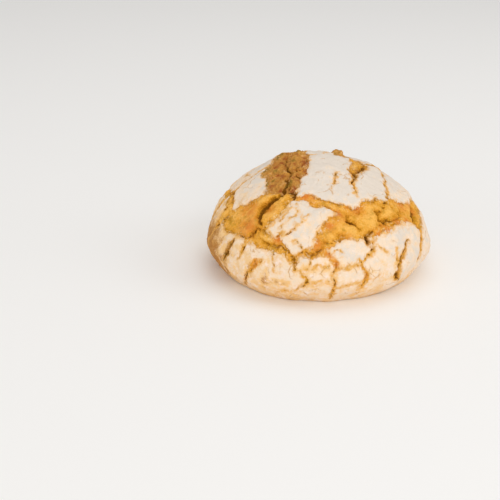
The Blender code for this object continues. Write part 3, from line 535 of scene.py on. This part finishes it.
def flourField(rays, spots):
    # how thick the flour lies, thinned low down as painted warm bounce light
    polar = np.degrees(np.arccos(np.clip(rays[:, 2], -1.0, 1.0)))
    flour = np.interp(polar, list(loaf["flourAndBounceRule"]), list(loaf["flourAndBounceRule"].values()))
    flour += loaf["flourSide"] * spots[:, 0] / loaf["halfWidth"]
    flour += swing(spots, "flourSwing")
    worn = nearestStrip(spots, plainStrips("wornStrips"))[0]
    flour -= loaf["flourWorn"] * ease(-worn, *loaf["wornEdge"])
    for azimuth, polar, radius, change in loaf["flourPatches"]:
        flour += change * hump(spots, azimuth, polar, radius)
    return np.clip(flour, *loaf["flourRange"])


def orangeField(spots):
    return np.max([strength * hump(spots, azimuth, polar, radius)
                   for azimuth, polar, radius, strength in loaf["orangePatches"]], axis=0)


def crustGrid(cells, lowestPolar):
    # a square grid rounded into a disc and wrapped over the loaf, crown in the middle
    line = np.linspace(-1.0, 1.0, cells + 1)
    across, along = np.meshgrid(line, line)
    ring = np.maximum(np.abs(across), np.abs(along))
    wide = np.abs(across) >= np.abs(along)
    with np.errstate(divide="ignore", invalid="ignore"):
        eighth = np.nan_to_num(np.where(wide, along / across, across / along)) * 45.0
    turn = np.where(wide, np.where(across > 0.0, eighth, 180.0 + eighth),
                    np.where(along > 0.0, 90.0 - eighth, 270.0 - eighth))
    index = np.arange((cells + 1) ** 2).reshape(cells + 1, cells + 1)
    corners = (index[:-1, :-1], index[:-1, 1:], index[1:, 1:], index[1:, :-1])
    faces = np.stack([corner.ravel() for corner in corners], axis=1)
    return rayTo(turn.ravel(), ring.ravel() * lowestPolar), faces


def closeBase(mesh):
    # one flat cut at the table, closed by one face
    form = bmesh.new()
    form.from_mesh(mesh)
    everything = form.verts[:] + form.edges[:] + form.faces[:]
    bmesh.ops.bisect_plane(form, geom=everything, dist=1e-7, plane_co=(0.0, 0.0, 0.0),
                           plane_no=(0.0, 0.0, 1.0), clear_inner=True)
    rim = [edge for edge in form.edges if edge.is_boundary]
    bmesh.ops.contextual_create(form, geom=rim)
    bmesh.ops.triangulate(form, faces=form.faces[:])
    bmesh.ops.recalc_face_normals(form, faces=form.faces[:])
    form.to_mesh(mesh)
    form.free()


def thinOut(piece):
    # fewer triangles where the crust is smooth
    thin = piece.modifiers.new("thin", "DECIMATE")
    thin.ratio = min(1.0, loaf["triangles"] / len(piece.data.polygons))
    ready = piece.evaluated_get(bpy.context.evaluated_depsgraph_get())
    lean = bpy.data.meshes.new_from_object(ready)
    piece.modifiers.clear()
    piece.data = lean
    lean.name = piece.name
    lean.polygons.foreach_set("use_smooth", np.ones(len(lean.polygons), dtype=bool))


def sitInBox(mesh):
    # same middle and same table as the solid
    corners = np.empty(len(mesh.vertices) * 3)
    mesh.vertices.foreach_get("co", corners)
    corners = corners.reshape(-1, 3)
    middle = 0.5 * (corners.min(axis=0) + corners.max(axis=0))
    wanted = 0.5 * (loafLow + loafHigh)
    corners += [wanted.x - middle[0], wanted.y - middle[1], loafLow.z - corners[:, 2].min()]
    mesh.vertices.foreach_set("co", corners.ravel())
    mesh.update()


def makeLoaf():
    rays, faces = crustGrid(loaf["gridCells"], loaf["lowestPolar"])
    reach = smoothReach(rays)
    spots = rays * reach[:, None]
    lump = swing(spots, "lumps")
    for azimuth, polar, height, radius in loaf["knobs"]:
        lump += height * hump(spots, azimuth, polar, radius)
    relief, fields = crustFields(spots)
    fields["flour"] = flourField(rays, spots)
    fields["orange"] = orangeField(spots)
    points = rays * (reach + lump + relief)[:, None]
    points[:, 2] += loaf["waistHeight"]
    print("crust worked out:", len(points), "points, relief from", relief.min().round(2), "to",
          relief.max().round(2), "mm")

    mesh = bpy.data.meshes.new("loafCrust")
    mesh.from_pydata((points * mm).tolist(), [], faces.tolist())
    for name, values in fields.items():
        layer = mesh.attributes.new(name, "FLOAT", "POINT")
        layer.data.foreach_set("value", values.astype(np.float32))
    closeBase(mesh)
    piece = bpy.data.objects.new("loafCrust", mesh)
    bpy.context.scene.collection.objects.link(piece)
    thinOut(piece)
    sitInBox(piece.data)
    print("loaf made:", len(piece.data.polygons), "triangles")
    return piece


def linearColour(hexCode):
    # sRGB hex to linear RGBA
    channels = [int(hexCode[k:k + 2], 16) / 255.0 for k in (1, 3, 5)]
    return [c / 12.92 if c <= 0.04045 else ((c + 0.055) / 1.055) ** 2.4 for c in channels] + [1.0]


def addNode(tree, kind, inputs=None, output=0, **settings):
    # adds a shader node, sets its options and fills its inputs, each with a colour as hex, a
    # number or another node's output, then hands back one of its own outputs
    node = tree.nodes.new("ShaderNode" + kind)
    for name, value in settings.items():
        setattr(node, name, value)
    for name, value in (inputs or {}).items():
        if isinstance(value, bpy.types.NodeSocket):
            tree.links.new(value, node.inputs[name])
        elif isinstance(value, str):
            node.inputs[name].default_value = linearColour(value)
        else:
            node.inputs[name].default_value = value
    return node.outputs[output] if node.outputs else None


crust = {
    "flour": "#e4d7c8",         # maize flour baked on in a dry, slightly grey cream layer
    # thinner flour, more and more of the crust showing through
    "flourSteps": [(1.68, 1.18, "#f5dcbf"), (1.20, 0.72, "#f4ca91")],
    # patches over that: strength under thick and under thin flour, colour
    "patches": {"yellowed": (0.0, 0.80, "#f4c277"), "clumps": (0.20, 0.85, "#fbe8de")},
    "skin": "#b77c3d",          # baked crust without flour
    "skinPale": "#d7a25c",      # the same over small blisters, thinner and lighter
    "hairline": "#d0a068",
    "rim": "#ecb468",           # thin edge of a plate, flour rubbed off
    # torn crumb from painted shade at the bottom of a hollow up to painted light at the top of a pillow
    "crumbDeep": "#ab700b",
    "crumbSteps": [(-0.10, 0.24, "#d69326"), (0.20, 0.52, "#eeaa40"), (0.52, 1.05, "#fbbe5e")],
    "olive": "#b38212",         # crumb spotted darker and greener
    "orange": "#df8130",        # crumb baked orange
    "dust": "#f9dca8",          # flour fallen on crumb
    "toasted": "#c68b40",       # crumb that stood open longest, brown with olive and red
    "toastedSteps": [(0.44, 0.06, "#8f6e2a"), (0.54, 0.92, "#a8602c")],
    "flake": "#e3ae70",         # crust flaked up on it
    "deep": "#774805",          # painted shade at the bottom of cracks and folds
    "roughness": 0.88,
    "ior": 1.45,
    "specularLevel": 0.12,      # dusty and full of pores, so hardly any sheen
    "bumpDepth": 0.9,           # mm
    "bumpStrength": 0.8,
    "powderHeight": 0.12,       # flour's grain and a hairline's floor, as shares of that depth
    "lineHeight": -0.22,
    # flour and crumb are mottled by these patterns, each with its weight
    "coverMottle": {"mottle": 0.55, "speck": 0.28},
    "levelMottle": {"patch": 0.55, "grit": 0.42},
    "levelDrop": 0.40,
    # cover that counts as thick and as thin, and where the skin starts to show and lies bare
    "thickToThin": (1.55, 0.95),
    "thinToBare": (0.70, 0.15),
    "edgeMiddle": 0.5,          # mm outside the tear where plate and crumb mix evenly
    "edgeSoftness": (0.25, 2.0),            # mm to either side, crispest and softest
    "rimFrom": (2.8, 0.5),      # mm from the tear where the thin edge starts and is full
    "brownMottle": 0.50,
    "brownFrom": (0.45, 1.25),  # brownness where it starts to show and is full
    "dustFrom": (-4.5, -0.5),   # mm from the tear's edge
    "dustMost": 0.8,
    "creaseShadeMottle": 0.40,
    "creaseShadeFrom": (0.45, 1.30), # cracks and folds: where their painted shade starts and where it is darkest
    "oliveMost": 0.65,
    "hairlineBend": 9.0,        # mm
    "hairlineOctaves": 3.0,
    "hairlineSway": 8.0,        # mm
    "hairlineFloor": 0.15,      # share of a hairline's width that is its floor
    # networks of hairlines: cell in mm, width as a share of the cell, strength in thick and in
    # thin flour, pattern that breaks them off
    "hairlines": [(18.0, 0.026, 0.70, 0.80, "lineBreak"), (7.5, 0.055, 0.15, 0.80, "crazing")],
    "patternRoughness": 0.57,
    "patternStep": 1.7,         # keeps the patterns apart
    # noise: size in mm, octaves, then the range that is stretched to 0..1; flour grains and crumb
    # pores are drawn two or three times coarser than life so that they show
    "patterns": {
        "ragged": (1.7, 4.0, 0.30, 0.70),
        "softness": (10.0, 2.0, 0.42, 0.66),
        "mottle": (6.0, 4.0, 0.25, 0.75),
        "speck": (0.9, 2.0, 0.25, 0.75),
        "yellowed": (7.0, 4.0, 0.50, 0.72),
        "clumps": (3.6, 4.0, 0.48, 0.74),
        "lineBreak": (9.0, 3.0, 0.50, 0.62),
        "crazing": (13.0, 3.0, 0.52, 0.70),
        "rimBreak": (2.6, 3.0, 0.30, 0.62),
        "patch": (5.0, 4.0, 0.28, 0.72),
        "blister": (2.8, 5.0, 0.42, 0.70),
        "grit": (1.1, 3.0, 0.30, 0.70),
        "olive": (4.6, 5.0, 0.50, 0.70),
        "orangeBreak": (4.5, 3.0, 0.25, 0.60),
        "toastShade": (6.5, 5.0, 0.28, 0.72),
        "toastBreak": (2.4, 3.0, 0.30, 0.70),
        "flakes": (4.0, 5.0, 0.56, 0.72),
        "hollow": (1.5, 4.0, 0.30, 0.70),
        "dustBreak": (1.6, 4.0, 0.48, 0.72),
        "powder": (0.9, 3.0, 0.0, 1.0),
        "crumbly": (1.6, 5.0, 0.0, 1.0),
    },
}


def flouredCrustMaterial():
    # Baked wheat and maize crust dusted with flour: the flour is dead matt and pale, its plates
    # break at toasted edges, and the torn crumb between them is rough and golden, with painted
    # light on its pillows and painted shade in every hollow.
    material = bpy.data.materials.new("flouredMaizeCrust")
    material.use_nodes = True
    tree = material.node_tree
    tree.nodes.clear()
    smooth = {"interpolation_type": "SMOOTHSTEP"}
    colours = {"data_type": "RGBA", "output": 2}    # a Mix node takes them at inputs 6 and 7
    place = addNode(tree, "TexCoord", output="Object")
    # the mesh's fields, among them the painted shade of cracks and folds and the painted light and shade
    # of the crumb's pillows
    field = {name: addNode(tree, "Attribute", output="Fac", attribute_name=name)
             for name in ("tearEdge", "creaseShade", "toast", "level", "flour", "orange")}
    pattern = {}
    for seed, (name, (size, octaves, low, high)) in enumerate(crust["patterns"].items()):
        noise = addNode(tree, "TexNoise", {"Vector": place, "W": crust["patternStep"] * seed,
                        "Scale": 1.0 / (size * mm), "Detail": octaves,
                        "Roughness": crust["patternRoughness"]}, noise_dimensions="4D")
        pattern[name] = addNode(tree, "MapRange", {"Value": noise, "From Min": low,
                                "From Max": high}, **smooth)

    # ragged border between plate and tear, crisp in places and dusted over in others
    ragged = addNode(tree, "Math", {0: pattern["ragged"], 1: field["tearEdge"]}, operation="ADD")
    crispest, softest = crust["edgeSoftness"]
    softness = addNode(tree, "MapRange", {"Value": pattern["softness"],
                       "To Min": crispest, "To Max": softest})
    plateSide = addNode(tree, "Math", {0: crust["edgeMiddle"], 1: softness}, operation="ADD")
    crumbSide = addNode(tree, "Math", {0: crust["edgeMiddle"], 1: softness}, operation="SUBTRACT")
    torn = addNode(tree, "MapRange", {"Value": ragged, "From Min": plateSide,
                   "From Max": crumbSide}, **smooth)

    # how thick the flour lies, and how high the torn crumb stands, which sets its painted light and shade
    cover = field["flour"]
    for name, weight in crust["coverMottle"].items():
        cover = addNode(tree, "Math", {0: pattern[name], 1: weight, 2: cover}, operation="MULTIPLY_ADD")
    level = field["level"]
    for name, weight in crust["levelMottle"].items():
        level = addNode(tree, "Math", {0: pattern[name], 1: weight, 2: level}, operation="MULTIPLY_ADD")
    level = addNode(tree, "Math", {0: level, 1: crust["levelDrop"]}, operation="SUBTRACT")

    # plates follow the flour, crumb its painted light and shade by height, and crumb that baked brown its
    # own colours
    ramps = [(cover, "flour", "flourSteps"), (level, "crumbDeep", "crumbSteps"),
             (pattern["toastShade"], "toasted", "toastedSteps")]
    graded = []
    for value, first, steps in ramps:
        paint = crust[first]
        for start, full, nextPaint in crust[steps]:
            share = addNode(tree, "MapRange", {"Value": value, "From Min": start,
                            "From Max": full}, **smooth)
            paint = addNode(tree, "Mix", {0: share, 6: paint, 7: nextPaint}, **colours)
        graded.append(paint)
    plate, crumb, toasted = graded

    # under thin flour the crust shows yellow in patches, and flour lies on it in clumps
    thickCover, thinCover = crust["thickToThin"]
    for name, (thick, thin, paint) in crust["patches"].items():
        share = addNode(tree, "MapRange", {"Value": cover, "From Min": thickCover,
                        "From Max": thinCover, "To Min": thick, "To Max": thin})
        share = addNode(tree, "Math", {0: share, 1: pattern[name]}, operation="MULTIPLY")
        plate = addNode(tree, "Mix", {0: share, 6: plate, 7: paint}, **colours)

    # and where there is next to none, the blistered skin
    start, full = crust["thinToBare"]
    bare = addNode(tree, "MapRange", {"Value": cover, "From Min": start, "From Max": full}, **smooth)
    skin = addNode(tree, "Mix", {0: pattern["blister"], 6: crust["skin"], 7: crust["skinPale"]},
                   **colours)
    plate = addNode(tree, "Mix", {0: bare, 6: plate, 7: skin}, **colours)

    # hairlines: the network of finest cracks, broken off where the noise is low
    wander = addNode(tree, "TexNoise", {"Vector": place, "Detail": crust["hairlineOctaves"],
                     "Scale": 1.0 / (crust["hairlineBend"] * mm)}, output="Color")
    sway = (crust["hairlineSway"] * mm,) * 3
    bent = addNode(tree, "VectorMath", {0: wander, 1: sway, 2: place}, operation="MULTIPLY_ADD")
    lines = []
    for cell, width, thick, thin, broken in crust["hairlines"]:
        network = addNode(tree, "TexVoronoi", {"Vector": bent, "Scale": 1.0 / (cell * mm)},
                          output="Distance", feature="DISTANCE_TO_EDGE")
        strength = addNode(tree, "MapRange", {"Value": cover, "From Min": thickCover,
                           "From Max": thinCover, "To Min": thick, "To Max": thin})
        line = addNode(tree, "MapRange", {"Value": network, "From Min": width,
                       "From Max": crust["hairlineFloor"] * width, "To Max": strength}, **smooth)
        lines.append(addNode(tree, "Math", {0: line, 1: pattern[broken]}, operation="MULTIPLY"))
    start, full = crust["rimFrom"]
    nearRim = addNode(tree, "MapRange", {"Value": ragged, "From Min": start, "From Max": full}, **smooth)
    rimShare = addNode(tree, "Math", {0: nearRim, 1: pattern["rimBreak"]}, operation="MULTIPLY")
    for share, paint in [(line, crust["hairline"]) for line in lines] + [(rimShare, crust["rim"])]:
        plate = addNode(tree, "Mix", {0: share, 6: plate, 7: paint}, **colours)

    # crumb baked brown and flaky where it stood open longest
    toasted = addNode(tree, "Mix", {0: pattern["flakes"], 6: toasted, 7: crust["flake"]}, **colours)
    brown = addNode(tree, "Math", {0: pattern["toastBreak"], 1: crust["brownMottle"],
                    2: field["toast"]}, operation="MULTIPLY_ADD")
    start, full = crust["brownFrom"]
    brownShare = addNode(tree, "MapRange", {"Value": brown, "From Min": start,
                         "From Max": full}, **smooth)

    # orange patches, flour fallen over the edge, painted shade in cracks and folds, and olive spots
    orangeShare = addNode(tree, "Math", {0: field["orange"], 1: pattern["orangeBreak"]},
                          operation="MULTIPLY")
    start, full = crust["dustFrom"]
    nearFlour = addNode(tree, "MapRange", {"Value": field["tearEdge"],
                        "From Min": start, "From Max": full, "To Max": crust["dustMost"]})
    dustShare = addNode(tree, "Math", {0: nearFlour, 1: pattern["dustBreak"]}, operation="MULTIPLY")
    # painted shade in cracks and folds, its strength broken up by noise
    hollow = addNode(tree, "Math", {0: pattern["hollow"], 1: crust["creaseShadeMottle"],
                     2: field["creaseShade"]}, operation="MULTIPLY_ADD")
    start, full = crust["creaseShadeFrom"]
    creaseShadeShare = addNode(tree, "MapRange", {"Value": hollow, "From Min": start,
                          "From Max": full}, **smooth)
    oliveShare = addNode(tree, "Math", {0: pattern["olive"], 1: crust["oliveMost"]}, operation="MULTIPLY")
    for share, paint in [(oliveShare, crust["olive"]), (orangeShare, crust["orange"]),
                         (brownShare, toasted), (dustShare, crust["dust"]),
                         (creaseShadeShare, crust["deep"])]:
        crumb = addNode(tree, "Mix", {0: share, 6: crumb, 7: paint}, clamp_factor=True, **colours)
    colour = addNode(tree, "Mix", {0: torn, 6: plate, 7: crumb}, **colours)

    # bump: powdery grain on plates, coarse crumb in tears, hairlines cut in
    powder = addNode(tree, "Math", {0: pattern["powder"], 1: crust["powderHeight"]}, operation="MULTIPLY")
    for line in lines:
        powder = addNode(tree, "Math", {0: line, 1: crust["lineHeight"], 2: powder},
                         operation="MULTIPLY_ADD")
    height = addNode(tree, "Mix", {0: torn, 2: powder, 3: pattern["crumbly"]})
    bump = addNode(tree, "Bump", {"Height": height, "Strength": crust["bumpStrength"],
                   "Distance": crust["bumpDepth"] * mm})
    shader = addNode(tree, "BsdfPrincipled", {"Base Color": colour, "Normal": bump,
                     "Roughness": crust["roughness"], "IOR": crust["ior"],
                     "Specular IOR Level": crust["specularLevel"]})
    addNode(tree, "OutputMaterial", {"Surface": shader})
    return material


studio = {
    "cameraAway": 0.8375,       # metres from the loaf's middle, along the table
    "cameraUp": 0.3459,
    "lookDown": 22.0,
    "lookLeft": 3.38,
    "roll": 0.88,
    "lens": 89.3,
    "sensor": 36.0,
    "floorRadius": 14.0,
    "floorDrop": 0.2,           # mm under the loaf, so that the two faces don't fight
    "floorColour": "#faf8f5",
    "floorRoughness": 0.9,
    "worldColour": "#ffffff",
    "worldStrength": 0.53,
    "lightsAimAt": 0.04,        # height in metres
    "lights": {                 # place, size in metres, power in watts
        "softboxOverhead": ((0.1, 0.2, 1.5), 1.4, 6.0),
        "softboxFront": ((0.3, -1.8, 0.8), 1.2, 11.4),
        "softboxRight": ((1.5, -0.3, 0.9), 0.9, 4.6),
        "softboxLeft": ((-1.5, -1.1, 0.5), 0.9, 3.2),
    },
}


def makeFloor():
    form = bmesh.new()
    bmesh.ops.create_circle(form, cap_ends=True, radius=studio["floorRadius"], segments=96)
    mesh = bpy.data.meshes.new("floor")
    form.to_mesh(mesh)
    form.free()
    floor = bpy.data.objects.new("floor", mesh)
    bpy.context.scene.collection.objects.link(floor)
    floor.location.z = loafLow.z - studio["floorDrop"] * mm
    # matt white paint, rolled on: no gloss, so the floor shows only the loaf's soft shadow
    paint = bpy.data.materials.new("mattPaintedBoard")
    paint.use_nodes = True
    shader = paint.node_tree.nodes["Principled BSDF"]
    shader.inputs["Base Color"].default_value = linearColour(studio["floorColour"])
    shader.inputs["Roughness"].default_value = studio["floorRoughness"]
    mesh.materials.append(paint)


def makeLights():
    target = Vector((0.0, 0.0, studio["lightsAimAt"]))
    for name, (place, size, power) in studio["lights"].items():
        lamp = bpy.data.lights.new(name, "AREA")
        lamp.shape = "SQUARE"
        lamp.size = size
        lamp.energy = power
        light = bpy.data.objects.new(name, lamp)
        light.location = place
        light.rotation_euler = (target - Vector(place)).to_track_quat("-Z", "Y").to_euler()
        bpy.context.scene.collection.objects.link(light)
    world = bpy.data.worlds.new("paleRoom")
    world.use_nodes = True
    sky = world.node_tree.nodes["Background"]
    sky.inputs["Color"].default_value = linearColour(studio["worldColour"])
    sky.inputs["Strength"].default_value = studio["worldStrength"]
    bpy.context.scene.world = world
    bpy.context.scene.view_settings.view_transform = "Standard"


def makeCamera():
    camera = bpy.data.objects.new("camera", bpy.data.cameras.new("camera"))
    camera.data.lens = studio["lens"]
    camera.data.sensor_width = studio["sensor"]
    turn = Matrix.Rotation(math.radians(studio["lookLeft"]), 4, "Z")
    lean = Matrix.Rotation(math.radians(90.0 - studio["lookDown"]), 4, "X")
    roll = Matrix.Rotation(math.radians(studio["roll"]), 4, "Z")
    place = Matrix.Translation((0.0, -studio["cameraAway"], studio["cameraUp"]))
    camera.matrix_world = place @ turn @ lean @ roll
    bpy.context.scene.collection.objects.link(camera)
    bpy.context.scene.camera = camera


makeCamera()
makeFloor()
makeLights()
print("studio ready")
loafPiece = makeLoaf()
loafPiece.data.materials.append(flouredCrustMaterial())
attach(loafPiece, "root")
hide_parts("loaf")
print("loaf dressed")
